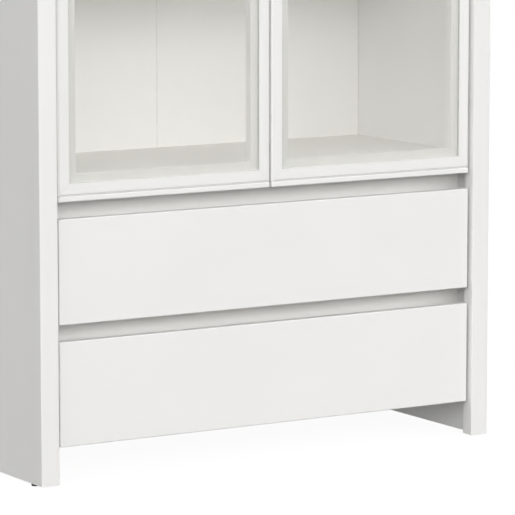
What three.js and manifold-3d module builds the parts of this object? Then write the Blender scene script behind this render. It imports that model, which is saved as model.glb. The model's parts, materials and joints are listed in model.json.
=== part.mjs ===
// A tall white storage cabinet: two hinged glass doors over two full-width drawers.
//
// Millimetres, +Z up. The origin is on the floor under the middle of the cabinet,
// the fronts face -Y and +X is to the right of somebody who stands in front of it.
//
// The carcass is a frame of melamine boards. Each side is thickened at the front by a
// post, and the top by a strip, so the cabinet shows a thick white frame from the front.
// The fronts have no handles: a finger goes under the doors, or into the gap over each
// drawer, where a recess rail closes the view into the cabinet.

import * as THREE from 'three';
import { mergeVertices } from 'three/addons/utils/BufferGeometryUtils.js';
import Module from 'manifold-3d';

const wasm = await Module();
wasm.setup();

// ---- Driving dimensions -------------------------------------------------------------

const WIDTH = 900;
const DEPTH = 405;
const HEIGHT = 2005;

// Carcass boards
const BOARD = 18; // sides, top, display floor and shelves
const THIN_BOARD = 16; // posts, strips, rails, base and drawer fronts
const POST_DEPTH = 26; // front to back
const BACK_SHEET = 3;
const BACK_FACE = 394; // from the front of the posts to the front of the back sheets
const BACK_PLAY = 0.5; // round the edges of the back sheets
const JOINER_WIDTH = 12; // strip that holds the two back sheets together
const JOINER_FLANGE = 1; // thickness of the flange behind the sheets
const JOINER_WEB = 2; // thickness of the web that stands between the sheets
const GLIDE_RADIUS = 6.5;
const GLIDE_HEIGHT = 5;
const GLIDE_INSET = 40; // from the front and back edges of the sides
const BASE_TOP = 85; // top face of the board under the lower drawer
const DISPLAY_FLOOR_TOP = 508;
const DISPLAY_FLOOR_PLAY = 2; // behind the doors
const SHELF_COUNT = 3;
const SHELF_INSET = 50; // from the front of the posts
const SHELF_SIDE_PLAY = 1;
const SHELF_BACK_PLAY = 2;
const RECESS_RAIL_FACE = 70; // from the front of the posts
const RECESS_RAIL_HEIGHT = 56;
const LOWER_RAIL_RISE = 16.5; // its top over the lower edge of the upper drawer's front

// Fronts, shared by doors and drawers
const FRONT_SET_BACK = 8; // behind the front of the posts
const FRONT_SIDE_GAP = 5.5; // to the posts, and to the strip under the top
const FRONTS_BOTTOM = 66; // lower edge of the lower drawer's front
const DRAWER_FRONT_HEIGHT = 176.5;
const FINGER_GAP = 28; // over each drawer

// Doors
const DOOR_GAP = 4; // between the two doors
const DOOR_THICKNESS = 20;
const FRAME_FACE = 21; // width of the frame's outer face, bevel included
const FRAME_LIP = 15; // width of the lip behind the glass
const FRAME_REBATE = 5; // depth of the lip behind the face
const BEVEL_WIDTH = 3.5;
const BEVEL_DEPTH = 2;
const GRIP_STRIP_HEIGHT = 9.5; // batten under each door
const FIT_GAP = 0.3; // between neighbours that are glued or cut to each other
const MITRE_GAP = 0.15;
const GLASS_THICKNESS = 4;
const GLASS_EDGE_PLAY = 0.5;

// Concealed hinges
const HINGE_END = 110; // from the top and bottom of the door
const HINGE_UNDER_SHELF = 60; // middle hinge, under the middle shelf
const MIDDLE_SHELF = 2;
const CUP_RADIUS = 12.7;
const CUP_DEPTH = 11;
const CUP_WALL = 1;
const CUP_BORE_RADIUS = 13;
const CUP_BORE_DEPTH = 11.5;
const CUP_FLANGE_RADIUS = 15;
const CUP_CENTRE = 18; // from the outer edge of the door
const ARM_HEIGHT = 14;
const ARM_CLEARANCE = 3; // between the door's back and the front of the arm
const ARM_PAST_CENTRE = 6; // from the middle of the cup to the tip of the arm
const ARM_LENGTH = 56; // front to back
// Corners of the bent arm: distance from the side panel, distance back from the arm's front
const ARM_FRONT_BENDS = [[0, 15], [8, 6], [20, 0]];
const ARM_BACK_BENDS = [[21, 4], [16, 10], [10, 22]];

// Drawers
const DRAWER_BOX_RISE = 24; // bottom of the box over the lower edge of its front
const DRAWER_BOX_HEIGHT = 136;
const DRAWER_BOX_LENGTH = 350;
const DRAWER_WALL = 12;
const DRAWER_BOTTOM = 3;
const RUNNER_SPACE = 12.5; // from the drawer's side to the liner that holds the runner
const RUNNER_WIDTH = 11;
const RUNNER_HEIGHT = 30;
const RUNNER_SHEET = 1.5;
const RUNNER_RISE = 6; // bottom of the runner over the bottom of the box
const LINER_START = 90; // from the front of the posts

const ROUND_SEGMENTS = 24;
const WELD_DISTANCE = 1e-4;

// ---- Planes worked out from them ----------------------------------------------------

const FRONT = -DEPTH / 2; // front of the posts
const REAR = DEPTH / 2;
const SIDE_INNER = WIDTH / 2 - BOARD;
const POST_INNER = SIDE_INNER - THIN_BOARD;
const TOP_UNDER = HEIGHT - BOARD;
const STRIP_UNDER = TOP_UNDER - THIN_BOARD;
const BACK = FRONT + BACK_FACE;
const FACE = FRONT + FRONT_SET_BACK; // plane of the doors' and drawers' faces
const FRONT_EDGE = POST_INNER - FRONT_SIDE_GAP; // outer edge of the fronts
const LOWER_DRAWER_BOTTOM = FRONTS_BOTTOM;
const UPPER_DRAWER_BOTTOM = LOWER_DRAWER_BOTTOM + DRAWER_FRONT_HEIGHT + FINGER_GAP;
const DOOR_BOTTOM = UPPER_DRAWER_BOTTOM + DRAWER_FRONT_HEIGHT + FINGER_GAP;
const DOOR_TOP = STRIP_UNDER - FRONT_SIDE_GAP;
const FRAME_BOTTOM = DOOR_BOTTOM + GRIP_STRIP_HEIGHT;
const DOOR_BACK = FACE + DOOR_THICKNESS;
const LIP = FACE + FRAME_REBATE;
const DISPLAY_FLOOR_UNDER = DISPLAY_FLOOR_TOP - BOARD;
const SHELF_SPACE = (TOP_UNDER - DISPLAY_FLOOR_TOP - SHELF_COUNT * BOARD) / (SHELF_COUNT + 1);

const shelfBottom = (index) => DISPLAY_FLOOR_TOP + SHELF_SPACE * index + BOARD * (index - 1);

const HINGE_HEIGHTS = [
  FRAME_BOTTOM + HINGE_END,
  shelfBottom(MIDDLE_SHELF) - HINGE_UNDER_SHELF,
  DOOR_TOP - HINGE_END,
];

// ---- Finishes -----------------------------------------------------------------------

const finishes = {
  whiteBoard: { color: 0xebebe9, roughness: 0.45, metalness: 0 },
  whiteFrame: { color: 0xededeb, roughness: 0.4, metalness: 0 },
  whiteSheet: { color: 0xe8e8e5, roughness: 0.6, metalness: 0 },
  clearGlass: { color: 0xdfe6e4, roughness: 0.05, metalness: 0, transparent: true, opacity: 0.3 },
  blackPlastic: { color: 0x1b1b1c, roughness: 0.55, metalness: 0 },
  whiteSteel: { color: 0xe4e4e2, roughness: 0.35, metalness: 0.4 },
  nickel: { color: 0xb9b9b6, roughness: 0.3, metalness: 0.9 },
};

const cabinet = new THREE.Group();

function addMesh(name, geometry, finish) {
  const mesh = new THREE.Mesh(geometry, new THREE.MeshStandardMaterial(finishes[finish]));
  mesh.name = name;
  cabinet.add(mesh);
  return mesh;
}

// A straight board between two limits on each axis.
function addBoard(name, finish, x, y, z) {
  const geometry = new THREE.BoxGeometry(x[1] - x[0], y[1] - y[0], z[1] - z[0]);
  const mesh = addMesh(name, geometry, finish);
  mesh.position.set((x[0] + x[1]) / 2, (y[0] + y[1]) / 2, (z[0] + z[1]) / 2);
  return mesh;
}

// A span across the cabinet on one side: side is -1 on the left and 1 on the right.
function across(side, inner, outer) {
  return side < 0 ? [-outer, -inner] : [inner, outer];
}

// Turns a mesh so that its own x, y and z run along three directions of the cabinet.
function turn(mesh, x, y, z) {
  const basis = new THREE.Matrix4().makeBasis(x, y, z);
  mesh.quaternion.setFromRotationMatrix(basis);
}

function outline(points) {
  return new THREE.Shape(points.map(([x, y]) => new THREE.Vector2(x, y)));
}

const RIGHT = new THREE.Vector3(1, 0, 0);
const LEFT = new THREE.Vector3(-1, 0, 0);
const TO_BACK = new THREE.Vector3(0, 1, 0);
const TO_FRONT = new THREE.Vector3(0, -1, 0);
const UP = new THREE.Vector3(0, 0, 1);
const DOWN = new THREE.Vector3(0, 0, -1);

// ---- Cutting one solid from another ---------------------------------------------------

function toSolid(geometry) {
  const bare = geometry.clone();
  bare.deleteAttribute('normal');
  bare.deleteAttribute('uv');
  const merged = mergeVertices(bare, WELD_DISTANCE);
  const mesh = new wasm.Mesh({
    numProp: 3,
    vertProperties: new Float32Array(merged.attributes.position.array),
    triVerts: new Uint32Array(merged.index.array),
  });
  return new wasm.Manifold(mesh);
}

function toGeometry(solid) {
  const mesh = solid.getMesh();
  const geometry = new THREE.BufferGeometry();
  geometry.setAttribute('position', new THREE.BufferAttribute(mesh.vertProperties, 3));
  geometry.setIndex(new THREE.BufferAttribute(mesh.triVerts, 1));
  geometry.computeVertexNormals();
  return geometry;
}

// ---- Carcass --------------------------------------------------------------------------

function addSides() {
  for (const [label, side] of [['left', -1], ['right', 1]]) {
    const panel = across(side, SIDE_INNER, WIDTH / 2);
    const lining = across(side, POST_INNER, SIDE_INNER);
    addBoard(`${label}_side_panel`, 'whiteBoard', panel, [FRONT, REAR], [GLIDE_HEIGHT, HEIGHT]);
    addBoard(
      `${label}_front_post`, 'whiteBoard', lining, [FRONT, FRONT + POST_DEPTH],
      [GLIDE_HEIGHT, TOP_UNDER],
    );
    addBoard(
      `${label}_runner_liner`, 'whiteBoard', lining, [FRONT + LINER_START, BACK],
      [BASE_TOP, DISPLAY_FLOOR_UNDER],
    );
    for (const [place, end] of [['front', -1], ['rear', 1]]) {
      const glide = new THREE.CylinderGeometry(
        GLIDE_RADIUS, GLIDE_RADIUS, GLIDE_HEIGHT, ROUND_SEGMENTS,
      );
      const mesh = addMesh(`${label}_${place}_glide`, glide, 'blackPlastic');
      mesh.rotation.x = Math.PI / 2;
      mesh.position.set(
        side * (WIDTH / 2 - BOARD / 2), end * (REAR - GLIDE_INSET), GLIDE_HEIGHT / 2,
      );
    }
  }
}

function addLevels() {
  const inside = [-SIDE_INNER, SIDE_INNER];
  const behindPosts = FRONT + POST_DEPTH;
  addBoard('top_panel', 'whiteBoard', inside, [FRONT, REAR], [TOP_UNDER, HEIGHT]);
  addBoard(
    'top_front_strip', 'whiteBoard', [-POST_INNER, POST_INNER], [FRONT, behindPosts],
    [STRIP_UNDER, TOP_UNDER],
  );
  addBoard(
    'display_floor', 'whiteBoard', inside, [DOOR_BACK + DISPLAY_FLOOR_PLAY, BACK],
    [DISPLAY_FLOOR_UNDER, DISPLAY_FLOOR_TOP],
  );
  addBoard(
    'base_panel', 'whiteBoard', inside, [behindPosts, BACK], [BASE_TOP - THIN_BOARD, BASE_TOP],
  );
  const shelfEdge = SIDE_INNER - SHELF_SIDE_PLAY;
  for (let index = 1; index <= SHELF_COUNT; index += 1) {
    addBoard(
      `shelf_${index}`, 'whiteBoard', [-shelfEdge, shelfEdge],
      [FRONT + SHELF_INSET, BACK - SHELF_BACK_PLAY],
      [shelfBottom(index), shelfBottom(index) + BOARD],
    );
  }
  const railDepth = [FRONT + RECESS_RAIL_FACE, FRONT + RECESS_RAIL_FACE + THIN_BOARD];
  for (const [name, top] of [
    ['upper_recess_rail', DISPLAY_FLOOR_UNDER],
    ['lower_recess_rail', UPPER_DRAWER_BOTTOM + LOWER_RAIL_RISE],
  ]) {
    addBoard(name, 'whiteBoard', inside, railDepth, [top - RECESS_RAIL_HEIGHT, top]);
  }
}

// Two thin sheets side by side, held at the middle by a strip with a T section. Its web
// stands between the sheets, so the seam shows as a narrow line.
function addBack() {
  const low = BASE_TOP - THIN_BOARD;
  const high = TOP_UNDER - BACK_PLAY;
  const web = JOINER_WEB / 2;
  for (const [label, side] of [['left', -1], ['right', 1]]) {
    const span = across(side, web + BACK_PLAY, SIDE_INNER - BACK_PLAY);
    addBoard(
      `${label}_back_sheet`, 'whiteSheet', span, [BACK + FIT_GAP, BACK + FIT_GAP + BACK_SHEET],
      [low, high],
    );
  }
  const flange = BACK_SHEET + 2 * FIT_GAP;
  const depth = flange + JOINER_FLANGE;
  const half = JOINER_WIDTH / 2;
  const section = outline([
    [-web, 0], [web, 0], [web, flange], [half, flange],
    [half, depth], [-half, depth], [-half, flange], [-web, flange],
  ]);
  const bar = new THREE.ExtrudeGeometry(section, { depth: high - low, bevelEnabled: false });
  addMesh('back_joining_strip', bar, 'whiteSheet').position.set(0, BACK, low);
}

// ---- Doors ----------------------------------------------------------------------------

// One side of a mitred frame. Its section runs from the outer edge (x = 0) inwards and
// from the face (y = 0) backwards, and both ends are cut at 45 degrees.
function frameMember(length) {
  const width = FRAME_FACE + FRAME_LIP;
  const section = outline([
    [0, BEVEL_DEPTH], [BEVEL_WIDTH, 0], [FRAME_FACE, 0], [FRAME_FACE, FRAME_REBATE],
    [width, FRAME_REBATE], [width, DOOR_THICKNESS], [0, DOOR_THICKNESS],
  ]);
  const geometry = new THREE.ExtrudeGeometry(section, { depth: length, bevelEnabled: false });
  const place = geometry.attributes.position;
  for (let i = 0; i < place.count; i += 1) {
    const cut = place.getX(i) + MITRE_GAP;
    place.setZ(i, place.getZ(i) < length / 2 ? cut : length - cut);
  }
  return geometry;
}

// A stile with the blind bores for its hinge cups, at distances along its length.
function boredMember(length, bores) {
  let solid = toSolid(frameMember(length));
  for (const along of bores) {
    const drill = new THREE.CylinderGeometry(
      CUP_BORE_RADIUS, CUP_BORE_RADIUS, 2 * CUP_BORE_DEPTH, ROUND_SEGMENTS,
    );
    drill.translate(CUP_CENTRE, DOOR_THICKNESS, along);
    solid = solid.subtract(toSolid(drill));
  }
  return toGeometry(solid);
}

function addDoor(label, side) {
  const [x0, x1] = across(side, DOOR_GAP / 2, FRONT_EDGE);
  const width = x1 - x0;
  const height = DOOR_TOP - FRAME_BOTTOM;
  const bores = HINGE_HEIGHTS.map((z) => (side < 0 ? z - FRAME_BOTTOM : DOOR_TOP - z));
  const leftStile = side < 0 ? boredMember(height, bores) : frameMember(height);
  const rightStile = side < 0 ? frameMember(height) : boredMember(height, bores);
  const members = [
    ['left_stile', leftStile, [x0, FRAME_BOTTOM], RIGHT, UP],
    ['right_stile', rightStile, [x1, DOOR_TOP], LEFT, DOWN],
    ['top_rail', frameMember(width), [x0, DOOR_TOP], DOWN, RIGHT],
    ['bottom_rail', frameMember(width), [x1, FRAME_BOTTOM], UP, LEFT],
  ];
  for (const [name, geometry, [x, z], inwards, along] of members) {
    const mesh = addMesh(`${label}_door_${name}`, geometry, 'whiteFrame');
    turn(mesh, inwards, TO_BACK, along);
    mesh.position.set(x, FACE, z);
  }
  const edge = FRAME_FACE + GLASS_EDGE_PLAY;
  addBoard(
    `${label}_door_glass`, 'clearGlass', [x0 + edge, x1 - edge],
    [LIP - FIT_GAP - GLASS_THICKNESS, LIP - FIT_GAP], [FRAME_BOTTOM + edge, DOOR_TOP - edge],
  );
  addBoard(
    `${label}_door_grip_strip`, 'whiteFrame', [x0, x1], [FACE, DOOR_BACK],
    [DOOR_BOTTOM, FRAME_BOTTOM - FIT_GAP],
  );
}

// The cup sits in the stile and turns with the door. Its mouth opens backwards.
function hingeCup() {
  const inner = CUP_RADIUS - CUP_WALL;
  const profile = [
    [0, -CUP_DEPTH], [CUP_RADIUS, -CUP_DEPTH], [CUP_RADIUS, FIT_GAP],
    [CUP_FLANGE_RADIUS, FIT_GAP], [CUP_FLANGE_RADIUS, CUP_WALL], [inner, CUP_WALL],
    [inner, CUP_WALL - CUP_DEPTH], [0, CUP_WALL - CUP_DEPTH],
  ];
  return new THREE.LatheGeometry(
    profile.map(([radius, y]) => new THREE.Vector2(radius, y)), ROUND_SEGMENTS,
  );
}

// The arm and its plate, seen from above: screwed to the side panel behind the post, and
// cranked forwards and inwards until its end stands behind the cup.
function hingeArm(side) {
  const front = DOOR_BACK + ARM_CLEARANCE;
  const tip = SIDE_INNER - (FRONT_EDGE - CUP_CENTRE - ARM_PAST_CENTRE);
  const sheet = ARM_BACK_BENDS[0][1];
  const plate = ARM_BACK_BENDS[2][0];
  const corners = [
    [0, ARM_LENGTH], ...ARM_FRONT_BENDS, [tip, 0], [tip, sheet], ...ARM_BACK_BENDS,
    [plate, ARM_LENGTH],
  ];
  const points = corners.map(([off, back]) => [side * (SIDE_INNER - off), front + back]);
  const shape = outline(points);
  return new THREE.ExtrudeGeometry(shape, { depth: ARM_HEIGHT, bevelEnabled: false });
}

function addHinges(label, side) {
  HINGE_HEIGHTS.forEach((z, index) => {
    const arm = addMesh(`${label}_hinge_arm_${index + 1}`, hingeArm(side), 'nickel');
    arm.position.set(0, 0, z - ARM_HEIGHT / 2);
    const cup = addMesh(`${label}_hinge_cup_${index + 1}`, hingeCup(), 'nickel');
    cup.position.set(side * (FRONT_EDGE - CUP_CENTRE), DOOR_BACK, z);
  });
}

// ---- Drawers --------------------------------------------------------------------------

function addDrawer(label, bottom) {
  const frontBack = FACE + THIN_BOARD;
  const outer = POST_INNER - RUNNER_SPACE;
  const boxBottom = bottom + DRAWER_BOX_RISE;
  const boxTop = boxBottom + DRAWER_BOX_HEIGHT;
  const boxEnd = frontBack + DRAWER_BOX_LENGTH;
  addBoard(
    `${label}_drawer_front`, 'whiteBoard', [-FRONT_EDGE, FRONT_EDGE], [FACE, frontBack],
    [bottom, bottom + DRAWER_FRONT_HEIGHT],
  );
  for (const [name, side] of [['left', -1], ['right', 1]]) {
    addBoard(
      `${label}_drawer_${name}_side`, 'whiteBoard', across(side, outer - DRAWER_WALL, outer),
      [frontBack, boxEnd], [boxBottom, boxTop],
    );
    addRunner(`${label}_drawer_${name}_runner`, side, frontBack, boxBottom + RUNNER_RISE);
  }
  addBoard(
    `${label}_drawer_back`, 'whiteBoard', [DRAWER_WALL - outer, outer - DRAWER_WALL],
    [boxEnd - DRAWER_WALL, boxEnd], [boxBottom, boxTop],
  );
  addBoard(
    `${label}_drawer_bottom`, 'whiteSheet', [-outer, outer], [frontBack, boxEnd],
    [boxBottom - DRAWER_BOTTOM, boxBottom],
  );
}

// The fixed half of a roller slide: a C-shaped channel open to the drawer. It is screwed to
// the liner and reaches forwards to the post, where its roller carries the drawer.
function addRunner(name, side, frontBack, low) {
  const section = outline([
    [0, 0], [RUNNER_WIDTH, 0], [RUNNER_WIDTH, RUNNER_SHEET], [RUNNER_SHEET, RUNNER_SHEET],
    [RUNNER_SHEET, RUNNER_HEIGHT - RUNNER_SHEET], [RUNNER_WIDTH, RUNNER_HEIGHT - RUNNER_SHEET],
    [RUNNER_WIDTH, RUNNER_HEIGHT], [0, RUNNER_HEIGHT],
  ].map(([x, y]) => [-side * x, y]));
  const start = FRONT + POST_DEPTH;
  const length = frontBack + DRAWER_BOX_LENGTH - start;
  const channel = new THREE.ExtrudeGeometry(section, { depth: length, bevelEnabled: false });
  const mesh = addMesh(name, channel, 'whiteSteel');
  turn(mesh, RIGHT, UP, TO_FRONT);
  mesh.position.set(side * POST_INNER, start + length, low);
}

addSides();
addLevels();
addBack();
for (const [label, side] of [['left', -1], ['right', 1]]) {
  addDoor(label, side);
  addHinges(label, side);
}
addDrawer('upper', UPPER_DRAWER_BOTTOM);
addDrawer('lower', LOWER_DRAWER_BOTTOM);

export default cabinet;
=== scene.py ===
import json
import math

import bmesh
import bpy
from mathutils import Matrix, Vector

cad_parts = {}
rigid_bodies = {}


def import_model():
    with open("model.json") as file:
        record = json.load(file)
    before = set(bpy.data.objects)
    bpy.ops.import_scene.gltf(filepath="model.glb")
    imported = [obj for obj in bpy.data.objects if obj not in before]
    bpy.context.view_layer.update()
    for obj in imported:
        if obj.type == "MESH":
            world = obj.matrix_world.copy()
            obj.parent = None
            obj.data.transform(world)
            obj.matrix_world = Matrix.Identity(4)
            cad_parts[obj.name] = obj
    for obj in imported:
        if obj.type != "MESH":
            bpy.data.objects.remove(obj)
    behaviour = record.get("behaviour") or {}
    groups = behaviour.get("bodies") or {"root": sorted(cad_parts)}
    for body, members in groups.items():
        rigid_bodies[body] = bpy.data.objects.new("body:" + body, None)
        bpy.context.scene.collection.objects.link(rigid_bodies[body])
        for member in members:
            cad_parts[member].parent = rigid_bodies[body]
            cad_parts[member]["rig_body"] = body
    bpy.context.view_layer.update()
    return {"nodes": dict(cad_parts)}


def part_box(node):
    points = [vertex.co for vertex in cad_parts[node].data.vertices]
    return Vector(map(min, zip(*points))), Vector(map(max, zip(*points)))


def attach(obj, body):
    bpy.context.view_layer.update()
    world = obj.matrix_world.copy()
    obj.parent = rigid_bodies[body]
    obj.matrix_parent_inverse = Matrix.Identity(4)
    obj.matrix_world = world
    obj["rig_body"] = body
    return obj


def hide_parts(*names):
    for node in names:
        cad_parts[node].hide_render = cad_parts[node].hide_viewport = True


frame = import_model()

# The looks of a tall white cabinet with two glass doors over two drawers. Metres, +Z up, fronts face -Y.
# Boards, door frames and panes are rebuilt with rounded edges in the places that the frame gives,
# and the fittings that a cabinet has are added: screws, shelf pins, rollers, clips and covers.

MM = 0.001
SIDES = (("left", -1), ("right", 1))
LEVELS = ("upper", "lower")
SHELVES = ("shelf_1", "shelf_2", "shelf_3")
HINGES = (1, 2, 3)

X_AXIS = Vector((1, 0, 0))
Y_AXIS = Vector((0, 1, 0))
Z_AXIS = Vector((0, 0, 1))

# Rounding of the boards' edges
BOARD_EDGE = 0.8 * MM
OUTER_EDGE = 2.0 * MM
FRONT_EDGE = 1.8 * MM
JOINT_EDGE = 0.12 * MM
PRESSED_EDGE = 0.3 * MM
ARM_EDGE = 0.5 * MM
GLIDE_EDGE = 0.8 * MM
SEAM_STRIP_EDGE = 0.2 * MM
WELD_DISTANCE = 0.01 * MM
SAME_PLACE = 0.001 * MM
EDGE_STEPS = 3
BLOCK_STEPS = 2
CORNER_STEPS = 3
SHARP_ANGLE = math.radians(40)

# Section of the doors' frames
FRAME_FACE = 21 * MM
FRAME_REBATE = 5 * MM
BEVEL_WIDTH = 3.5 * MM
BEVEL_DEPTH = 2 * MM
BEVEL_RADIUS = 0.5 * MM
FACE_RADIUS = 0.8 * MM
LIP_RADIUS = 0.5 * MM
REAR_RADIUS = 1.2 * MM
LIP_MARGIN = 0.4 * MM

# Holes are cut by tools that stand this far out of the surface.
TOOL_RISE = 2 * MM

# Shelf pins and their holes
PIN_HOLE_RADIUS = 2.5 * MM
PIN_HOLE_DEPTH = 10 * MM
PIN_HOLE_STEP = 32 * MM
PIN_HOLE_STEPS = (-1, 0, 1, 2)
PIN_INSET = 37 * MM
PIN_PLAY = 0.15 * MM
PIN_DROP = 0.1 * MM
PIN_TAIL = 8 * MM
PIN_NECK = 6 * MM
PIN_TIP = 7 * MM
SPOON_NEAR = 1.2 * MM
SPOON_FAR = 9 * MM
SPOON_HALF_WIDTH = 4 * MM
SPOON_LOW = 1.2 * MM
SPOON_HIGH = 0.2 * MM
SPOON_EDGE = 0.4 * MM

# Screws and covers
SCREW_RADIUS = 3.6 * MM
SMALL_SCREW_RADIUS = 3 * MM
SCREW_RISE = 1.6 * MM
SCREW_SEAT = 0.2 * MM
CROSS_WIDTH = 0.35 * MM
COVER_RADIUS = 8.5 * MM
COVER_SEAT = 0.1 * MM
COVER_RISE = 1.2 * MM
COVER_INSET = 60 * MM
TOP_COVER_INSET = 34 * MM

# The back's seam, and the clips round its edge
SEAM_LAP = 0.6 * MM
SEAM_RISE = 0.2 * MM
SEAM_EDGE = 0.1 * MM
SHEET_EDGE = 0.3 * MM
CLIP_ROWS = 6
CLIP_REACH = 24 * MM
CLIP_LAP = 0.3 * MM
CLIP_HALF_HEIGHT = 9 * MM
CLIP_RISE = 2.4 * MM
CLIP_EDGE = 0.8 * MM
CLIP_SCREW_INSET = 9 * MM

# Doors: their bumpers, and the hinges' cups, wings and plates
GRIP_EDGE = 1.6 * MM
PANE_ROUNDING = 0.5 * MM
BUMPER_RADIUS = 4 * MM
BUMPER_RISE = 1.2 * MM
BUMPER_ABOVE = 15 * MM
BUMPER_BELOW = 12 * MM
CUP_BORE_RADIUS = 13 * MM
CUP_BORE_DEPTH = 11.5 * MM
WING_START = 14.2 * MM
WING_END = 27 * MM
WING_HALF_WIDTH = 5.5 * MM
WING_RISE = 0.8 * MM
WING_EDGE = 0.35 * MM
WING_SCREW = 21 * MM
WING_SCREW_RISE = 0.5 * MM
AXLE_RADIUS = 2 * MM
AXLE_HALF_LENGTH = 6 * MM
AXLE_OFFSET = 4 * MM
AXLE_DEPTH = 6 * MM
PLATE_RISE = 2 * MM
PLATE_START = 7.5 * MM
PLATE_END = 23 * MM
PLATE_FRONT = 44 * MM
PLATE_BACK = 28 * MM
PLATE_EDGE = 0.8 * MM
PLATE_SCREW = 16 * MM
ARM_RISE = 10 * MM
ARM_SCREWS = (10 * MM, 30 * MM)

# Drawers: the slides' steel strips and rollers. Heights are above the foot of the fixed runner.
STRIP_LEVEL = 17.4 * MM
STRIP_TOP = 27 * MM
STRIP_STEEL = 1.2 * MM
STRIP_LAP = 1.0 * MM
STRIP_REACH = 8.5 * MM
STRIP_EDGE = 0.3 * MM
STRIP_FRONT = 2 * MM
STRIP_BACK = 1 * MM
STRIP_REAR_STOP = 26 * MM
STRIP_SCREWS = 3
STRIP_SCREW_LEVEL = 23 * MM
STRIP_SCREW_RADIUS = 2.4 * MM
STRIP_SCREW_RISE = 0.2 * MM
REAR_ROLLER = (9 * MM, 7 * MM)
REAR_ROLLER_PLAY = 1.8 * MM
REAR_ROLLER_INSET = 13 * MM
REAR_ROLLER_LEVEL = 14.5 * MM
FRONT_ROLLER = (7 * MM, 6.5 * MM)
FRONT_ROLLER_PLAY = 2.6 * MM
FRONT_ROLLER_INSET = 12 * MM
FRONT_ROLLER_LEVEL = 9.4 * MM
ROLLER_RIM = 0.8 * MM
JOINT_INSET = 32 * MM
CAM_INSET = 34 * MM
CAM_RADIUS = 7.5 * MM
CORNER_SCREW_INSET = 6 * MM
CORNER_SCREW_RISE = 0.8 * MM

# The camera stands in front of the cabinet, to its left, and looks slightly down.
CAMERA_PLACE = (-3.0904, -5.1591, 1.1732)
CAMERA_TURN = math.radians(31.68)
CAMERA_DIP = math.radians(7.97)
CAMERA_LENS = 241.75
CAMERA_SENSOR = 36
CAMERA_REACH = 200

# Studio light. Each span says where a light fades in or out, as a part of a unit direction.
GROUND_LIGHT = 0.16
SKY_LIGHT = 0.12
BAND_LIGHT = 3.6
BAND_TURN = math.radians(-20)
BAND_WIDTH = (0.0, 0.34)
BAND_FOOT = (0.03, 0.12)
BAND_TOP = (0.38, 0.54)
REAR_LIGHT = 0.75
REAR_WIDTH = (-0.5, -0.95)
TOP_PLACE = (-0.4, -1.6, 4.6)
TOP_SIZE = (3.0, 2.4)
TOP_TARGET = (0, 0, 0.7)
TOP_POWER = 48
HORIZON = (-0.08, 0.08)
ROOM_COLOUR = (1.0, 0.996, 0.985, 1)
LAMP_COLOUR = (1.0, 0.995, 0.985)
FLOOR_SIDE = 60
FLOOR_GREY = 0.16
FLOOR_GLOW = 0.92

# Whites, creams and greys of the boards, foils and plastics; the inner cream, the rail white and the lip
# grey are painted light and painted shade
BOARD_WHITE = (0.86, 0.857, 0.85)
# Painted light: the shelves and display floor get a brighter, creamier copy of the melamine to lift the
# glassed-in interior.
INNER_LIT_WHITE = (0.91, 0.902, 0.882)
# Painted light: the recessed rails behind the finger gaps get a brighter white to stand in for light that
# the doors keep out.
RAIL_LIT_WHITE = (0.95, 0.946, 0.928)
FACE_WHITE = (0.86, 0.857, 0.85)
# Painted shade: the frame lips behind the glass get a greyer foil for the shade of the recess behind the
# pane.
LIP_SHADE_WHITE = (0.73, 0.724, 0.70)
SHEET_WHITE = (0.9, 0.893, 0.878)
SHEET_RAW = (0.60, 0.565, 0.50)
STEEL_WHITE = (0.80, 0.80, 0.79)
NICKEL_GREY = (0.62, 0.61, 0.585)
PLASTIC_WHITE = (0.80, 0.80, 0.785)
PLASTIC_CREAM = (0.89, 0.883, 0.868)
PLASTIC_BLACK = (0.022, 0.022, 0.023)
PANE_TINT = (0.995, 0.996, 0.994)
PANE_EDGE_TINT = (0.84, 0.875, 0.862)

# The grain of a foil runs along its member.
GRAIN_UPRIGHT = (1, 1, 0.05)
GRAIN_LEVEL = (0.05, 1, 1)


# ---- Finishes -----------------------------------------------------------------------------


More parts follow.
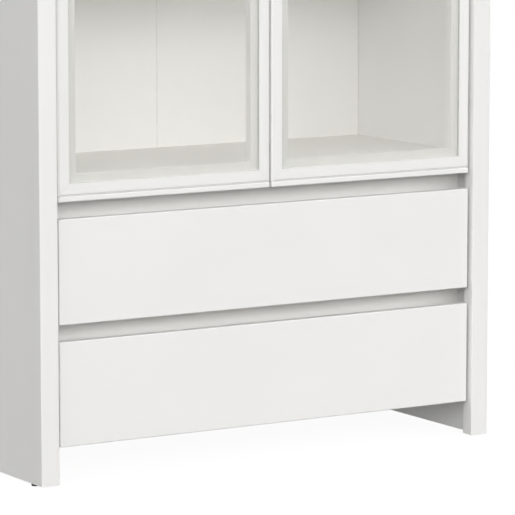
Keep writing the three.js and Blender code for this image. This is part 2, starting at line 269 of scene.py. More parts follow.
class Finish:
    """A material made of nodes, and the few node chains that the finishes share."""

    def __init__(self, name, colour, roughness, **values):
        self.material = bpy.data.materials.new(name)
        self.material.use_nodes = True
        self.material.diffuse_color = (*colour, 1)
        self.tree = self.material.node_tree
        self.shader = self.tree.nodes["Principled BSDF"]
        self.output = self.tree.nodes["Material Output"]
        self.place = self.node("ShaderNodeTexCoord")
        self.shader.inputs["Base Color"].default_value = (*colour, 1)
        self.shader.inputs["Roughness"].default_value = roughness
        for socket, value in values.items():
            self.shader.inputs[socket.replace("_", " ")].default_value = value

    def node(self, kind, **settings):
        made = self.tree.nodes.new(kind)
        for key, value in settings.items():
            setattr(made, key, value)
        return made

    def link(self, start, end):
        self.tree.links.new(start, end)

    def stretched(self, stretch):
        mapping = self.node("ShaderNodeMapping")
        mapping.inputs["Scale"].default_value = stretch
        self.link(self.place.outputs["Object"], mapping.inputs["Vector"])
        return mapping.outputs["Vector"]

    def noise(self, scale, detail=2.0, stretch=(1, 1, 1)):
        made = self.node("ShaderNodeTexNoise")
        made.inputs["Scale"].default_value = scale
        made.inputs["Detail"].default_value = detail
        self.link(self.stretched(stretch), made.inputs["Vector"])
        return made.outputs["Fac"]

    def cells(self, scale):
        made = self.node("ShaderNodeTexVoronoi")
        made.inputs["Scale"].default_value = scale
        self.link(self.stretched((1, 1, 1)), made.inputs["Vector"])
        return made.outputs["Distance"]

    def maths(self, operation, first, second):
        made = self.node("ShaderNodeMath", operation=operation)
        for socket, value in zip(made.inputs, (first, second)):
            if isinstance(value, (int, float)):
                socket.default_value = value
            else:
                self.link(value, socket)
        return made.outputs["Value"]

    def between(self, source, low, high, start=0.3, end=0.7):
        made = self.node("ShaderNodeMapRange")
        for name, value in (("From Min", start), ("From Max", end), ("To Min", low), ("To Max", high)):
            made.inputs[name].default_value = value
        self.link(source, made.inputs["Value"])
        return made.outputs["Result"]

    def mixed(self, share, first, second):
        """Two colours, or outputs that hold one, mixed by a share."""
        made = self.node("ShaderNodeMix", data_type="RGBA")
        for name, value in (("A", first), ("B", second)):
            socket = [s for s in made.inputs if s.name == name and s.type == "RGBA"][0]
            if isinstance(value, tuple):
                socket.default_value = (*value, 1)
            else:
                self.link(value, socket)
        self.link(share, made.inputs[0])
        return [s for s in made.outputs if s.type == "RGBA"][0]

    def facing(self, axis, start, end):
        """Rises from 0 to 1 as the surface turns to face along an axis of the object."""
        parts = self.node("ShaderNodeSeparateXYZ")
        self.link(self.place.outputs["Normal"], parts.inputs["Vector"])
        return self.between(parts.outputs[axis], 0, 1, start, end)

    def paint(self, source):
        self.link(source, self.shader.inputs["Base Color"])

    def gloss(self, source):
        self.link(source, self.shader.inputs["Roughness"])

    def relief(self, *layers):
        """Stacks bumps: each layer is a height and its depth in metres."""
        below = None
        for height, depth in layers:
            bump = self.node("ShaderNodeBump")
            bump.inputs["Strength"].default_value = 1.0
            bump.inputs["Distance"].default_value = depth
            self.link(height, bump.inputs["Height"])
            if below:
                self.link(below, bump.inputs["Normal"])
            below = bump.outputs["Normal"]
        self.link(below, self.shader.inputs["Normal"])


def shade(colour, factor):
    return tuple(channel * factor for channel in colour)


def melamine(name, white):
    """Smooth white melamine: a fine pearl grain, nearly even in colour, satin."""
    finish = Finish(name, white, 0.45, Specular_IOR_Level=0.22)
    cloud = finish.noise(3.2, 3)
    speck = finish.noise(1400, 1)
    tone = finish.mixed(finish.between(cloud, 0, 1), shade(white, 0.985), shade(white, 1.01))
    flecks = finish.between(speck, 0, 0.6, 0.62, 0.8)
    finish.paint(finish.mixed(flecks, tone, shade(white, 0.955)))
    finish.gloss(finish.between(finish.noise(38, 3), 0.42, 0.52))
    finish.relief((finish.noise(5.5, 1), 0.12 * MM), (finish.noise(1100, 2), 0.006 * MM))
    return finish.material


def foil(name, stretch, white):
    """White foil wrapped round a fibreboard profile. It was drawn on along the profile."""
    finish = Finish(name, white, 0.35, Specular_IOR_Level=0.45)
    draw = finish.noise(260, 3, stretch)
    tone = finish.mixed(finish.between(draw, 0, 1), shade(white, 0.985), shade(white, 1.008))
    speck = finish.between(finish.noise(1500, 1), 0, 0.5, 0.64, 0.8)
    finish.paint(finish.mixed(speck, tone, shade(white, 0.96)))
    finish.gloss(finish.between(draw, 0.29, 0.4))
    finish.relief((draw, 0.01 * MM), (finish.noise(900, 2), 0.005 * MM))
    return finish.material


def hardboard(name, axis, dull_side):
    """Thin hardboard: lacquered where it shows, and dull with the print of a screen behind."""
    finish = Finish(name, SHEET_WHITE, 0.5, Specular_IOR_Level=0.35)
    fibres = finish.noise(320, 6, (1, 1, 0.35))
    lacquer = finish.mixed(
        finish.between(fibres, 0, 1), shade(SHEET_WHITE, 0.98), shade(SHEET_WHITE, 1.01)
    )
    raw = finish.mixed(
        finish.between(fibres, 0, 1, 0.35, 0.65), shade(SHEET_RAW, 0.82), shade(SHEET_RAW, 1.08)
    )
    behind = finish.facing(axis, 0.3 * dull_side, 0.7 * dull_side)
    finish.paint(finish.mixed(behind, lacquer, raw))
    rough = finish.maths("MULTIPLY", behind, 0.3)
    finish.gloss(finish.maths("ADD", rough, finish.between(fibres, 0.42, 0.54)))
    screen = finish.maths("MULTIPLY", finish.cells(420), behind)
    finish.relief((finish.noise(4, 1), 0.2 * MM), (fibres, 0.012 * MM), (screen, 0.12 * MM))
    return finish.material


def powder_coat():
    """White powder coat on pressed steel, with its slight orange peel."""
    finish = Finish("white_powder_coat", STEEL_WHITE, 0.34)
    peel = finish.noise(520, 2)
    cloud = finish.between(finish.noise(24, 2), 0, 1)
    finish.paint(finish.mixed(cloud, shade(STEEL_WHITE, 0.96), shade(STEEL_WHITE, 1.02)))
    finish.gloss(finish.between(peel, 0.28, 0.42))
    finish.relief((peel, 0.03 * MM))
    return finish.material


def nickel():
    """Nickel-plated steel with fine rolling lines and a cloudy gloss."""
    finish = Finish("nickel_plate", NICKEL_GREY, 0.28, Metallic=1.0)
    lines = finish.noise(500, 3, (1, 1, 0.06))
    tone = finish.between(lines, 0, 1)
    finish.paint(finish.mixed(tone, shade(NICKEL_GREY, 0.88), shade(NICKEL_GREY, 1.06)))
    finish.gloss(finish.between(finish.noise(90, 3), 0.2, 0.38))
    finish.relief((lines, 0.008 * MM))
    return finish.material


def plastic(name, colour, low, high):
    """Moulded plastic with a fine spark-eroded grain."""
    finish = Finish(name, colour, (low + high) / 2)
    grain = finish.noise(2200, 2)
    tone = finish.between(finish.noise(60, 2), 0, 1)
    finish.paint(finish.mixed(tone, shade(colour, 0.93), shade(colour, 1.05)))
    finish.gloss(finish.between(grain, low, high))
    finish.relief((grain, 0.02 * MM))
    return finish.material


def glass(name, tint, sheen):
    """Clear glass: it lets the light through with a slight tint and mirrors at low angles."""
    finish = Finish(name, tint, 0.02)
    finish.tree.nodes.remove(finish.shader)
    clear = finish.node("ShaderNodeBsdfTransparent")
    clear.inputs["Color"].default_value = (*tint, 1)
    mirror = finish.node("ShaderNodeBsdfGlossy")
    finish.link(finish.between(finish.noise(14, 4), 0.005, sheen), mirror.inputs["Roughness"])
    wave = finish.node("ShaderNodeBump")
    wave.inputs["Distance"].default_value = 0.04 * MM
    finish.link(finish.noise(9, 1), wave.inputs["Height"])
    finish.link(wave.outputs["Normal"], mirror.inputs["Normal"])
    turn = finish.node("ShaderNodeLayerWeight")
    turn.inputs["Blend"].default_value = 0.5
    steep = finish.maths("POWER", turn.outputs["Facing"], 5.0)
    mix = finish.node("ShaderNodeMixShader")
    finish.link(finish.between(steep, 0.02, 0.8, 0, 1), mix.inputs[0])
    finish.link(clear.outputs["BSDF"], mix.inputs[1])
    finish.link(mirror.outputs["BSDF"], mix.inputs[2])
    finish.link(mix.outputs["Shader"], finish.output.inputs["Surface"])
    return finish.material


MELAMINE = melamine("white_melamine", BOARD_WHITE)
# A brighter copy of the melamine for the boards inside: painted light.
INNER_LIT_MELAMINE = melamine("inner_painted_light_melamine", INNER_LIT_WHITE)
# A brighter copy of the melamine for the recess rails: painted light.
RAIL_LIT_MELAMINE = melamine("rail_painted_light_melamine", RAIL_LIT_WHITE)
FOIL_UPRIGHT = foil("white_foil_upright", GRAIN_UPRIGHT, FACE_WHITE)
FOIL_LEVEL = foil("white_foil_level", GRAIN_LEVEL, FACE_WHITE)
# Greyer copies of the foil for the lips: painted shade behind the glass.
LIP_SHADE_UPRIGHT = foil("lip_painted_shade_upright", GRAIN_UPRIGHT, LIP_SHADE_WHITE)
LIP_SHADE_LEVEL = foil("lip_painted_shade_level", GRAIN_LEVEL, LIP_SHADE_WHITE)
BACK_BOARD = hardboard("white_hardboard_back", "Y", 1)
DRAWER_BOARD = hardboard("white_hardboard_bottom", "Z", -1)
POWDER_COAT = powder_coat()
NICKEL = nickel()
WHITE_PLASTIC = plastic("white_plastic", PLASTIC_WHITE, 0.4, 0.55)
CREAM_PLASTIC = plastic("cream_plastic", PLASTIC_CREAM, 0.4, 0.55)
BLACK_PLASTIC = plastic("black_plastic", PLASTIC_BLACK, 0.42, 0.6)
PANE = glass("clear_glass", PANE_TINT, 0.03)
PANE_EDGE = glass("glass_edge", PANE_EDGE_TINT, 0.12)


# ---- Meshes -------------------------------------------------------------------------------


def smooth(mesh):
    """Smooths every face of a mesh, but keeps the edges that turn by more than the sharp angle."""
    for face in mesh.faces:
        face.smooth = True
    for edge in mesh.edges:
        turning = edge.calc_face_angle(0.0) if len(edge.link_faces) == 2 else 0.0
        edge.smooth = turning < SHARP_ANGLE


def weigh_normals(thing):
    """Keeps wide faces flat next to their rounded edges."""
    modifier = thing.modifiers.new("even_normals", "WEIGHTED_NORMAL")
    modifier.keep_sharp = True


def place_on(thing, body, nodes=()):
    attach(thing, body)
    if nodes:
        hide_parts(*nodes)
    return thing


class Piece:
    """A mesh in the making: solids are added to it, and done() makes it a piece of the cabinet."""

    def __init__(self):
        self.mesh = bmesh.new()

    def take(self, part):
        holder = bpy.data.meshes.new("part")
        part.to_mesh(holder)
        part.free()
        self.mesh.from_mesh(holder)
        bpy.data.meshes.remove(holder)

    def block(self, low, high, radius):
        """A box between two corners, with all its edges rounded."""
        part = bmesh.new()
        bmesh.ops.create_cube(part, size=1.0)
        low, high = Vector(low), Vector(high)
        middle, size = (low + high) / 2, high - low
        for vertex in part.verts:
            vertex.co = middle + vertex.co * size
        bmesh.ops.bevel(
            part, geom=part.edges[:], offset=radius, segments=BLOCK_STEPS, profile=0.5, affect="EDGES"
        )
        self.take(part)

    def turned(self, profile, place, axis, segments=24):
        """A round solid. Its profile holds radius and height along the axis, from pole to pole."""
        part = bmesh.new()
        turn = Z_AXIS.rotation_difference(Vector(axis)).to_matrix()
        place = Vector(place)
        rings = []
        for radius, height in profile:
            count = segments if radius > 1e-9 else 1
            ring = []
            for index in range(count):
                angle = 2 * math.pi * index / count
                local = Vector((radius * math.cos(angle), radius * math.sin(angle), height))
                ring.append(part.verts.new(place + turn @ local))
            rings.append(ring)
        for lower, upper in zip(rings, rings[1:]):
            for index in range(segments):
                after = (index + 1) % segments
                corners = [lower[index % len(lower)], lower[after % len(lower)]]
                corners += [upper[after % len(upper)], upper[index % len(upper)]]
                part.faces.new(list(dict.fromkeys(corners)))
        bmesh.ops.recalc_face_normals(part, faces=part.faces[:])
        self.take(part)

    def swept(self, outline, start, end):
        """A closed outline carried along a line: start and end say where each point of it goes."""
        part = bmesh.new()
        first = [part.verts.new(start(point)) for point in outline]
        last = [part.verts.new(end(point)) for point in outline]
        count = len(outline)
        for index in range(count):
            after = (index + 1) % count
            part.faces.new([first[index], first[after], last[after], last[index]])
        part.faces.new(first[::-1])
        part.faces.new(last)
        bmesh.ops.recalc_face_normals(part, faces=part.faces[:])
        self.take(part)

    def done(self, name, material, body, slot, nodes=()):
        smooth(self.mesh)
        data = bpy.data.meshes.new(name)
        self.mesh.to_mesh(data)
        self.mesh.free()
        data.materials.append(material)
        thing = bpy.data.objects.new(name, data)
        bpy.context.scene.collection.objects.link(thing)
        weigh_normals(thing)
        return place_on(thing, body, nodes)


def edge_key(edge, low, high):
    """Names a box's edge by the two faces that meet in it, such as -x+z."""
    key = ""
    for axis, name in enumerate("xyz"):
        for sign, corner in (("-", low), ("+", high)):
            if all(abs(vertex.co[axis] - corner[axis]) < SAME_PLACE for vertex in edge.verts):
                key += sign + name
    return key


def board(node, body, radius=BOARD_EDGE, edges=None, material=None, slot="white_board"):
    """Rebuilds a CAD board with rounded edges. Edges gives another radius for the ones that it names."""
    low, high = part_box(node)
    middle, size = (low + high) / 2, high - low
    piece = Piece()
    bmesh.ops.create_cube(piece.mesh, size=1.0)
    for vertex in piece.mesh.verts:
        vertex.co = middle + vertex.co * size
    edges = edges or {}
    for largest in sorted({radius, *edges.values()} - {0.0}, reverse=True):
        keys = {edge: edge_key(edge, low, high) for edge in piece.mesh.edges}
        chosen = [edge for edge, key in keys.items() if len(key) == 4 and edges.get(key, radius) == largest]
        bmesh.ops.bevel(
            piece.mesh, geom=chosen, offset=largest, segments=EDGE_STEPS, profile=0.5, affect="EDGES"
        )
    return piece.done(node + "_board", material or MELAMINE, body, slot, [node])


def finish_node(node, material, rounding):
    """Gives a CAD node its finish and breaks its sharp edges."""
    thing = frame["nodes"][node]
    thing.data.materials.clear()
    thing.data.materials.append(material)
    thing.modifiers.new("weld", "WELD").merge_threshold = WELD_DISTANCE
    bevel = thing.modifiers.new("rounding", "BEVEL")
    bevel.width = rounding
    bevel.segments = 2
    bevel.limit_method = "ANGLE"
    bevel.angle_limit = SHARP_ANGLE
    weigh_normals(thing)


def cut(thing, tools, name):
    """Cuts the solids of a hidden piece out of another."""
    data = bpy.data.meshes.new(name)
    tools.mesh.to_mesh(data)
    tools.mesh.free()
    cutter = bpy.data.objects.new(name, data)
    bpy.context.scene.collection.objects.link(cutter)
    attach(cutter, thing["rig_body"])
    cutter.hide_render = True
    cutter.hide_viewport = True
    modifier = thing.modifiers.new("cut", "BOOLEAN")
    modifier.operation = "DIFFERENCE"
    modifier.solver = "EXACT"
    modifier.object = cutter
    thing.modifiers.move(len(thing.modifiers) - 1, max(0, len(thing.modifiers) - 2))


def round_corners(points, radii):
    """An outline with its corners turned into arcs. A radius of zero leaves its corner as it is."""
    made = []
    count = len(points)
    for index, radius in enumerate(radii):
        corner = Vector(points[index])
        if not radius:
            made.append(corner)
            continue
        before = (Vector(points[index - 1]) - corner).normalized()
        after = (Vector(points[(index + 1) % count]) - corner).normalized()
        half = before.angle(after) / 2
        reach = radius / math.tan(half)
        centre = corner + (before + after).normalized() * radius / math.sin(half)
        start = (corner + before * reach - centre).normalized()
        end = (corner + after * reach - centre).normalized()
        for step in range(CORNER_STEPS + 1):
            made.append(centre + start.slerp(end, step / CORNER_STEPS) * radius)
    return made


# ---- Small fittings -----------------------------------------------------------------------


def add_screw(piece, place, axis, radius=SCREW_RADIUS, rise=SCREW_RISE):
    """A domed screw head with a tapered recess, on a surface that it faces away from."""
    socket = radius * 0.42
    profile = [
        (0, -SCREW_SEAT), (radius, -SCREW_SEAT), (radius, 0.35 * rise), (radius * 0.86, 0.72 * rise),
        (radius * 0.6, rise), (socket, rise), (socket * 0.35, rise * 0.25), (0, rise * 0.2),
    ]
    piece.turned(profile, place, axis, 20)
    across = Vector(axis).orthogonal().normalized()
    crown = Vector(place) + Vector(axis) * rise * 0.98
    for arm in (across, across.cross(Vector(axis))):
        half = arm * radius * 0.55
        add_bar(piece, crown - half, crown + half, CROSS_WIDTH)


def add_bar(piece, start, end, thickness):
    """A thin bar with a square section between two points."""
    along = (end - start).normalized()
    side = along.orthogonal().normalized() * thickness / 2
    up = along.cross(side)
    square = [(-1, -1), (1, -1), (1, 1), (-1, 1)]
    piece.swept(
        square,
        lambda point: start + side * point[0] + up * point[1],
        lambda point: end + side * point[0] + up * point[1],
    )


def add_cover(piece, place, axis, crown):
    """A snap-in cover over a connecting cam. Its crown runs from the foot of its dome to the middle."""
    radius = crown[0][0]
    profile = [(0, -COVER_SEAT), (radius, -COVER_SEAT), *crown, (0, COVER_RISE)]
    piece.turned(profile, place, axis, 32)


# ---- Carcass ------------------------------------------------------------------------------


def carcass_boards():
    for label, side in SIDES:
        outer, inner = ("-x", "+x") if side < 0 else ("+x", "-x")
        board(f"{label}_side_panel", "carcass", edges={
            f"{outer}-y": OUTER_EDGE, f"{outer}+y": OUTER_EDGE, f"{outer}+z": OUTER_EDGE,
            f"{inner}-y": 0.0, f"{inner}+z": JOINT_EDGE,
        })
        board(f"{label}_front_post", "carcass", edges={
            f"{outer}-y": 0.0, f"{inner}-y": OUTER_EDGE, f"{outer}+z": 0.0, "-y+z": 0.0,
        })
        board(f"{label}_runner_liner", "carcass")
        board(f"{label}_back_sheet", "carcass", SHEET_EDGE, material=BACK_BOARD, slot="white_sheet")
    board("top_panel", "carcass", edges={
        "-x+z": JOINT_EDGE, "+x+z": JOINT_EDGE, "-x-y": JOINT_EDGE, "+x-y": JOINT_EDGE,
        "-y-z": JOINT_EDGE, "-y+z": OUTER_EDGE,
    })
    board("top_front_strip", "carcass", edges={
        "-y+z": JOINT_EDGE, "-x-y": JOINT_EDGE, "+x-y": JOINT_EDGE, "-y-z": OUTER_EDGE,
    })
    board("base_panel", "carcass")
    for node in ("display_floor", *SHELVES):
        # The display floor and shelves wear the brighter inner melamine, which is painted light inside the
        # glass.
        board(node, "carcass", material=INNER_LIT_MELAMINE)
    for level in LEVELS:
        # The recess rails wear the brighter melamine, which is painted light in the finger gaps.
        board(f"{level}_recess_rail", "carcass", material=RAIL_LIT_MELAMINE)
    finish_node("back_joining_strip", WHITE_PLASTIC, SEAM_STRIP_EDGE)
    for label, _ in SIDES:
        for place in ("front", "rear"):
            finish_node(f"{label}_{place}_glide", BLACK_PLASTIC, GLIDE_EDGE)


def shelf_pin_places(node):
    """Where the pins stand under a shelf: each place is y and the shelf's lower face."""
    low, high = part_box(node)
    return [(y, low.z) for y in (low.y + PIN_INSET, high.y - PIN_INSET)]


def drill_side_panels():
    """Rows of holes for the shelf pins, a step apart, round each shelf."""
    drill = [(0, -PIN_HOLE_DEPTH), (PIN_HOLE_RADIUS, -PIN_HOLE_DEPTH),
             (PIN_HOLE_RADIUS, TOOL_RISE), (0, TOOL_RISE)]
    for label, side in SIDES:
        low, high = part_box(f"{label}_side_panel")
        face = low.x if side > 0 else high.x
        tools = Piece()
        for node in SHELVES:
            for y, z in shelf_pin_places(node):
                for step in PIN_HOLE_STEPS:
                    centre = z - PIN_HOLE_RADIUS + step * PIN_HOLE_STEP
                    tools.turned(drill, (face, y, centre), -side * X_AXIS, 16)
        cut(bpy.data.objects[f"{label}_side_panel_board"], tools, f"{label}_side_panel_holes")


def shelf_pins():
    """Each shelf lies on four pins: a round shaft in the side panel, and a flat spoon along it."""
    shaft = PIN_HOLE_RADIUS - PIN_PLAY
    profile = [(0, -PIN_TAIL), (shaft, -PIN_TAIL), (shaft, PIN_NECK), (shaft * 0.7, PIN_TIP), (0, PIN_TIP)]
    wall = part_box("right_side_panel")[0].x
    for node in SHELVES:
        piece = Piece()
        for _, side in SIDES:
            near, far = side * (wall - SPOON_NEAR), side * (wall - SPOON_FAR)
            for y, z in shelf_pin_places(node):
                centre = z - PIN_HOLE_RADIUS - PIN_DROP
                piece.turned(profile, (side * wall, y, centre), -side * X_AXIS, 20)
                low = (min(near, far), y - SPOON_HALF_WIDTH, centre - SPOON_LOW)
                high = (max(near, far), y + SPOON_HALF_WIDTH, centre - SPOON_HIGH)
                piece.block(low, high, SPOON_EDGE)
        piece.done(f"{node}_pins", NICKEL, "carcass", "nickel_steel")


def back_seam():
    """A narrow lip of the joining strip that closes the gaps between the two back sheets."""
    low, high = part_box("back_joining_strip")
    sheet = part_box("right_back_sheet")[0]
    reach = sheet.x + SEAM_LAP
    piece = Piece()
    piece.block((-reach, sheet.y - SEAM_RISE, low.z), (reach, low.y + SEAM_RISE, high.z), SEAM_EDGE)
    piece.done("back_joining_lip", CREAM_PLASTIC, "carcass", "white_plastic")


def cam_covers():
    """Covers over the connecting cams, on the undersides of the boards between the side panels."""
    crown = [(COVER_RADIUS, 0.5 * MM), (COVER_RADIUS * 0.9, 1.0 * MM)]
    covers = Piece()
    for node in ("display_floor", "base_panel", "top_panel"):
        low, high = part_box(node)
        inset = TOP_COVER_INSET if node == "top_panel" else COVER_INSET
        for _, side in SIDES:
            for y in (low.y + COVER_INSET, high.y - COVER_INSET):
                add_cover(covers, (side * (high.x - inset), y, low.z), -Z_AXIS, crown)
    covers.done("cam_covers", WHITE_PLASTIC, "carcass", "white_plastic")


def back_clips():
    """Clips that hold the back sheets to the side panels, each with its screw."""
    clips, screws = Piece(), Piece()
    low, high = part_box("right_back_sheet")
    for _, side in SIDES:
        ends = sorted((side * (high.x + CLIP_LAP), side * (high.x - CLIP_REACH)))
        for row in range(CLIP_ROWS):
            z = low.z + (high.z - low.z) * (row + 0.5) / CLIP_ROWS
            clips.block(
                (ends[0], high.y, z - CLIP_HALF_HEIGHT),
                (ends[1], high.y + CLIP_RISE, z + CLIP_HALF_HEIGHT),
                CLIP_EDGE,
            )
            add_screw(screws, (side * (high.x - CLIP_SCREW_INSET), high.y + CLIP_RISE, z), Y_AXIS)
    clips.done("back_clips", WHITE_PLASTIC, "carcass", "white_plastic")
    screws.done("back_clip_screws", NICKEL, "carcass", "nickel_steel")


# ---- Doors --------------------------------------------------------------------------------


def member_section(width, depth):
    """Outline of a frame member: inwards from its outer edge, and back from its face."""
    points = [
        (0, BEVEL_DEPTH), (BEVEL_WIDTH, 0), (FRAME_FACE, 0), (FRAME_FACE, FRAME_REBATE),
        (width, FRAME_REBATE), (width, depth), (0, depth),
    ]
    radii = [BEVEL_RADIUS, FACE_RADIUS, LIP_RADIUS, 0, FACE_RADIUS, REAR_RADIUS, REAR_RADIUS]
    return round_corners(points, radii)


def frame_member(node, body, outwards, is_rail):
    """One side of a door's mitred frame, over the box of its CAD node, with its lip behind the glass
    painted greyer as shade.
    """
    low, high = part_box(node)
    size = high - low
    along, across = (X_AXIS, Z_AXIS) if is_rail else (Z_AXIS, X_AXIS)
    length, width = size.dot(along), size.dot(across)
    middle = (low + high) / 2
    inwards = across * -outwards
    corner = Vector((middle.x, low.y, middle.z)) - inwards * width / 2

    def place(point, end):
        reach = length / 2 - point[0]
        return corner + inwards * point[0] + Y_AXIS * point[1] + along * reach * end

    piece = Piece()
    piece.swept(
        member_section(width, size.y), lambda point: place(point, -1), lambda point: place(point, 1)
    )
    face_foil, lip_shade_foil = (FOIL_LEVEL, LIP_SHADE_LEVEL) if is_rail else (FOIL_UPRIGHT, LIP_SHADE_UPRIGHT)
    made = piece.done(f"{node}_profile", face_foil, body, "white_frame", [node])
    made.data.materials.append(lip_shade_foil)
    lip_start = corner.dot(inwards) + FRAME_FACE - LIP_MARGIN
    lip_back = corner.y + FRAME_REBATE + LIP_MARGIN
    for face in made.data.polygons:
        centre = made.matrix_world @ face.center
        on_lip = centre.dot(inwards) > lip_start and centre.y < lip_back
        face.material_index = 1 if on_lip else 0
    return made


def door(label, side):
    body = f"{label}_door"
    for name, outwards in (("left_stile", -1), ("right_stile", 1)):
        made = frame_member(f"{body}_{name}", body, outwards, False)
        if outwards == side:
            bore_stile(made, label)
    for name, outwards in (("bottom_rail", -1), ("top_rail", 1)):
        frame_member(f"{body}_{name}", body, outwards, True)
    board(f"{body}_grip_strip", body, GRIP_EDGE, material=FOIL_LEVEL, slot="white_frame")
    pane = board(f"{body}_glass", body, PANE_ROUNDING, material=PANE, slot="clear_glass")
    pane.data.materials.append(PANE_EDGE)
    pane.visible_shadow = False
    for face in pane.data.polygons:
        face.material_index = 0 if abs(face.normal.y) > 0.5 else 1
    bumpers(label, side)


def cup_centre(label, index):
    """The middle of a hinge cup, carried back to the rear face of its door's frame."""
    low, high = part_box(f"{label}_hinge_cup_{index}")
    centre = (low + high) / 2
    centre.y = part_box(f"{label}_door_left_stile")[1].y
    return centre


def bore_stile(stile, label):
    """Sinks the bores for the hinge cups into the back of the outer stile."""
    drill = [(0, -CUP_BORE_DEPTH), (CUP_BORE_RADIUS, -CUP_BORE_DEPTH),
             (CUP_BORE_RADIUS, TOOL_RISE), (0, TOOL_RISE)]
    tools = Piece()
    for index in HINGES:
        tools.turned(drill, cup_centre(label, index), Y_AXIS, 32)
    cut(stile, tools, f"{label}_door_cup_bores")


def bumpers(label, side):
    """Soft dots behind the free stile, for the door to shut on."""
    body = f"{label}_door"
    node = f"{body}_right_stile" if side < 0 else f"{body}_left_stile"
    low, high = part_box(node)
    profile = [(0, 0), (BUMPER_RADIUS, 0), (BUMPER_RADIUS, 0.5 * MM), (BUMPER_RADIUS * 0.7, 1.0 * MM),
               (0, BUMPER_RISE)]
    piece = Piece()
    for z in (low.z + BUMPER_ABOVE, high.z - BUMPER_BELOW):
        piece.turned(profile, ((low.x + high.x) / 2, high.y, z), Y_AXIS)
    piece.done(f"{label}_door_bumpers", WHITE_PLASTIC, body, "white_plastic")


def cup_wings(label, side, index):
    """The wings, screws and axle of a hinge cup, which turn with the door."""
    centre = cup_centre(label, index)
    crown = centre.y + WING_RISE
    wings = Piece()
    for end in (-1, 1):
        bottom, top = sorted((centre.z + end * WING_START, centre.z + end * WING_END))
        wings.block(
            (centre.x - WING_HALF_WIDTH, centre.y, bottom),
            (centre.x + WING_HALF_WIDTH, crown, top),
            WING_EDGE,
        )
        place = (centre.x, crown, centre.z + end * WING_SCREW)
        add_screw(wings, place, Y_AXIS, SMALL_SCREW_RADIUS, WING_SCREW_RISE)
    axle = [(0, -AXLE_HALF_LENGTH), (AXLE_RADIUS, -AXLE_HALF_LENGTH),
            (AXLE_RADIUS, AXLE_HALF_LENGTH), (0, AXLE_HALF_LENGTH)]
    wings.turned(axle, (centre.x + side * AXLE_OFFSET, centre.y - AXLE_DEPTH, centre.z), Z_AXIS, 16)
    wings.done(f"{label}_hinge_cup_{index}_wings", NICKEL, f"{label}_door", "nickel_steel")


def arm_plate(label, side, index):
    """The plate and screws that hold a hinge arm to the side panel."""
    arm = f"{label}_hinge_arm_{index}"
    low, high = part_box(arm)
    middle = (low.z + high.z) / 2
    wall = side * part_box("right_side_panel")[0].x
    inwards = X_AXIS * -side
    inner, outer = sorted((wall, wall - side * PLATE_RISE))
    plate = Piece()
    for end in (-1, 1):
        bottom, top = sorted((middle + end * PLATE_START, middle + end * PLATE_END))
        front, back = high.y - PLATE_FRONT, high.y - PLATE_BACK
        plate.block((inner, front, bottom), (outer, back, top), PLATE_EDGE)
        place = (wall - side * PLATE_RISE, (front + back) / 2, middle + end * PLATE_SCREW)
        add_screw(plate, place, inwards)
    for set_back in ARM_SCREWS:
        place = (wall - side * ARM_RISE, high.y - set_back, middle)
        add_screw(plate, place, inwards, SMALL_SCREW_RADIUS)
    plate.done(f"{arm}_plate", NICKEL, "carcass", "nickel_steel")


def hinges(label, side):
    for index in HINGES:
        finish_node(f"{label}_hinge_cup_{index}", NICKEL, PRESSED_EDGE)
        finish_node(f"{label}_hinge_arm_{index}", NICKEL, ARM_EDGE)
        cup_wings(label, side, index)
        arm_plate(label, side, index)


# ---- Drawers ------------------------------------------------------------------------------


def drawer(level):
    body = f"{level}_drawer"
    board(f"{body}_front", body, FRONT_EDGE)
    board(f"{body}_left_side", body)
    board(f"{body}_right_side", body)
    board(f"{body}_back", body)
    board(f"{body}_bottom", body, SHEET_EDGE, material=DRAWER_BOARD, slot="white_sheet")
    drawer_slides(body)
    drawer_joints(body)


def drawer_slides(body):
    """Steel strips with rear rollers on the drawer, and front rollers on the carcass."""
    strips, rear_rollers, front_rollers = Piece(), Piece(), Piece()
    for label, side in SIDES:
        node = f"{body}_{label}_runner"
        finish_node(node, POWDER_COAT, PRESSED_EDGE)
        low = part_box(node)[0]
        side_low, side_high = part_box(f"{body}_{label}_side")
        face = side_high.x if side > 0 else side_low.x
        outwards = X_AXIS * side
        level = low.z + STRIP_LEVEL
        front, rear = side_low.y + STRIP_FRONT, side_high.y - STRIP_REAR_STOP
        web = sorted((face, face + side * STRIP_STEEL))
        flange = sorted((face + side * STRIP_LAP, face + side * STRIP_REACH))
        web_top = (web[1], side_high.y - STRIP_BACK, low.z + STRIP_TOP)
        strips.block((web[0], front, level), web_top, STRIP_EDGE)
        strips.block((flange[0], front, level), (flange[1], rear, level + STRIP_STEEL), STRIP_EDGE)
        place = (face + side * REAR_ROLLER_PLAY, side_high.y - REAR_ROLLER_INSET, low.z + REAR_ROLLER_LEVEL)
        rear_rollers.turned(roller_profile(*REAR_ROLLER), place, outwards)
        place = (face + side * FRONT_ROLLER_PLAY, low.y + FRONT_ROLLER_INSET, low.z + FRONT_ROLLER_LEVEL)
        front_rollers.turned(roller_profile(*FRONT_ROLLER), place, outwards)
        for index in range(STRIP_SCREWS):
            y = front + (rear - front) * (index + 0.5) / STRIP_SCREWS
            place = (face + side * STRIP_STEEL, y, low.z + STRIP_SCREW_LEVEL)
            add_screw(strips, place, outwards, STRIP_SCREW_RADIUS, STRIP_SCREW_RISE)
    strips.done(f"{body}_slide_strips", POWDER_COAT, body, "white_steel")
    rear_rollers.done(f"{body}_rear_rollers", WHITE_PLASTIC, body, "white_plastic")
    front_rollers.done(f"{body}_front_rollers", WHITE_PLASTIC, "carcass", "white_plastic")


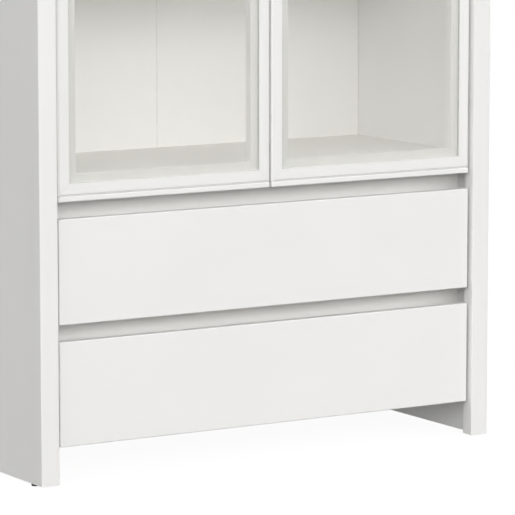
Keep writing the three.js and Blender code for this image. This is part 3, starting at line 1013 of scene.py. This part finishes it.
def drawer_joints(body):
    """Cam covers inside the front corners of the drawer, and screws outside its rear corners."""
    crown = [(CAM_RADIUS, 0.4 * MM), (CAM_RADIUS * 0.93, 0.9 * MM), (CAM_RADIUS * 0.5, 1.15 * MM)]
    covers, screws = Piece(), Piece()
    for label, side in SIDES:
        low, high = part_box(f"{body}_{label}_side")
        outer, inner = (high.x, low.x) if side > 0 else (low.x, high.x)
        outwards = X_AXIS * side
        for z in (low.z + JOINT_INSET, high.z - JOINT_INSET):
            add_cover(covers, (inner, low.y + CAM_INSET, z), -outwards, crown)
            place = (outer, high.y - CORNER_SCREW_INSET, z)
            add_screw(screws, place, outwards, SMALL_SCREW_RADIUS, CORNER_SCREW_RISE)
    covers.done(f"{body}_cam_covers", WHITE_PLASTIC, body, "white_plastic")
    screws.done(f"{body}_corner_screws", NICKEL, body, "nickel_steel")


def roller_profile(radius, width):
    """A roller with rounded rims and a hollow hub."""
    rim = ROLLER_RIM
    return [(0, 0), (radius - rim, 0), (radius, rim), (radius, width - rim), (radius - rim, width),
            (radius * 0.45, width), (radius * 0.4, width - rim), (0, width - rim)]


# ---- Studio -------------------------------------------------------------------------------


def floor():
    """A plain pale floor, bright enough to hold next to no shadow."""
    mesh = bmesh.new()
    bmesh.ops.create_grid(mesh, x_segments=8, y_segments=8, size=FLOOR_SIDE / 2)
    data = bpy.data.meshes.new("studio_floor")
    mesh.to_mesh(data)
    mesh.free()
    grey = (FLOOR_GREY, FLOOR_GREY, FLOOR_GREY)
    finish = Finish("studio_floor", grey, 0.9, Specular_IOR_Level=0.0)
    finish.shader.inputs["Emission Color"].default_value = (1, 1, 1, 1)
    finish.shader.inputs["Emission Strength"].default_value = FLOOR_GLOW
    tone = finish.between(finish.noise(1.5, 2), 0, 1)
    finish.paint(finish.mixed(tone, shade(grey, 0.96875), shade(grey, 1.03125)))
    data.materials.append(finish.material)
    thing = bpy.data.objects.new("studio_floor", data)
    bpy.context.scene.collection.objects.link(thing)
    thing.visible_diffuse = False
    thing.visible_glossy = False
    thing.visible_shadow = False


def world():
    """A white room with dim light all round, a wide bright band before the cabinet and a glow behind."""
    made = bpy.data.worlds.new("studio")
    made.use_nodes = True
    nodes, links = made.node_tree.nodes, made.node_tree.links

    def node(kind, *sources, **settings):
        new = nodes.new(kind)
        for key, value in settings.items():
            setattr(new, key, value)
        for socket, source in zip(new.inputs, sources):
            if isinstance(source, bpy.types.NodeSocket):
                links.new(source, socket)
            else:
                socket.default_value = source
        return new.outputs

    def rise(source, span, low=0.0, high=1.0):
        return node(
            "ShaderNodeMapRange", source, *span, low, high, interpolation_type="SMOOTHSTEP"
        )["Result"]

    direction = node("ShaderNodeTexCoord")["Generated"]
    height = node("ShaderNodeSeparateXYZ", direction)["Z"]
    towards = (math.sin(BAND_TURN), -math.cos(BAND_TURN), 0)
    ahead = node("ShaderNodeVectorMath", direction, towards, operation="DOT_PRODUCT")["Value"]
    band = node(
        "ShaderNodeMath", rise(height, BAND_FOOT), rise(height, BAND_TOP, 1, 0), operation="MULTIPLY"
    )["Value"]
    band = node("ShaderNodeMath", band, rise(ahead, BAND_WIDTH), operation="MULTIPLY")["Value"]
    room = rise(height, HORIZON, GROUND_LIGHT, SKY_LIGHT)
    rear = rise(ahead, REAR_WIDTH)
    room = node("ShaderNodeMath", rear, REAR_LIGHT, room, operation="MULTIPLY_ADD")["Value"]
    light = node("ShaderNodeMath", band, BAND_LIGHT, room, operation="MULTIPLY_ADD")["Value"]
    lit = node("ShaderNodeBackground", ROOM_COLOUR, light)["Background"]
    seen = node("ShaderNodeBackground", (1, 1, 1, 1), 1.0)["Background"]
    ray = node("ShaderNodeLightPath")["Is Camera Ray"]
    shown = node("ShaderNodeMixShader", ray, lit, seen)["Shader"]
    links.new(shown, nodes["World Output"].inputs["Surface"])
    bpy.context.scene.world = made


def top_light():
    """A wide soft light above and before the cabinet, turned to its middle."""
    data = bpy.data.lights.new("top_light", "AREA")
    data.shape = "RECTANGLE"
    data.size, data.size_y = TOP_SIZE
    data.energy = TOP_POWER
    data.color = LAMP_COLOUR
    thing = bpy.data.objects.new("top_light", data)
    thing.location = TOP_PLACE
    towards = Vector(TOP_TARGET) - Vector(TOP_PLACE)
    thing.rotation_euler = towards.to_track_quat("-Z", "Y").to_euler()
    bpy.context.scene.collection.objects.link(thing)


def camera():
    data = bpy.data.cameras.new("camera")
    data.lens = CAMERA_LENS
    data.sensor_width = CAMERA_SENSOR
    data.clip_end = CAMERA_REACH
    thing = bpy.data.objects.new("camera", data)
    thing.location = CAMERA_PLACE
    thing.rotation_euler = (math.pi / 2 - CAMERA_DIP, 0, -CAMERA_TURN)
    bpy.context.scene.collection.objects.link(thing)
    bpy.context.scene.camera = thing


carcass_boards()
drill_side_panels()
shelf_pins()
back_seam()
cam_covers()
back_clips()
for LABEL, SIDE in SIDES:
    door(LABEL, SIDE)
    hinges(LABEL, SIDE)
for LEVEL in LEVELS:
    drawer(LEVEL)

floor()
world()
top_light()
camera()
bpy.context.scene.view_settings.view_transform = "Standard"
bpy.context.scene.cycles.diffuse_bounces = 8
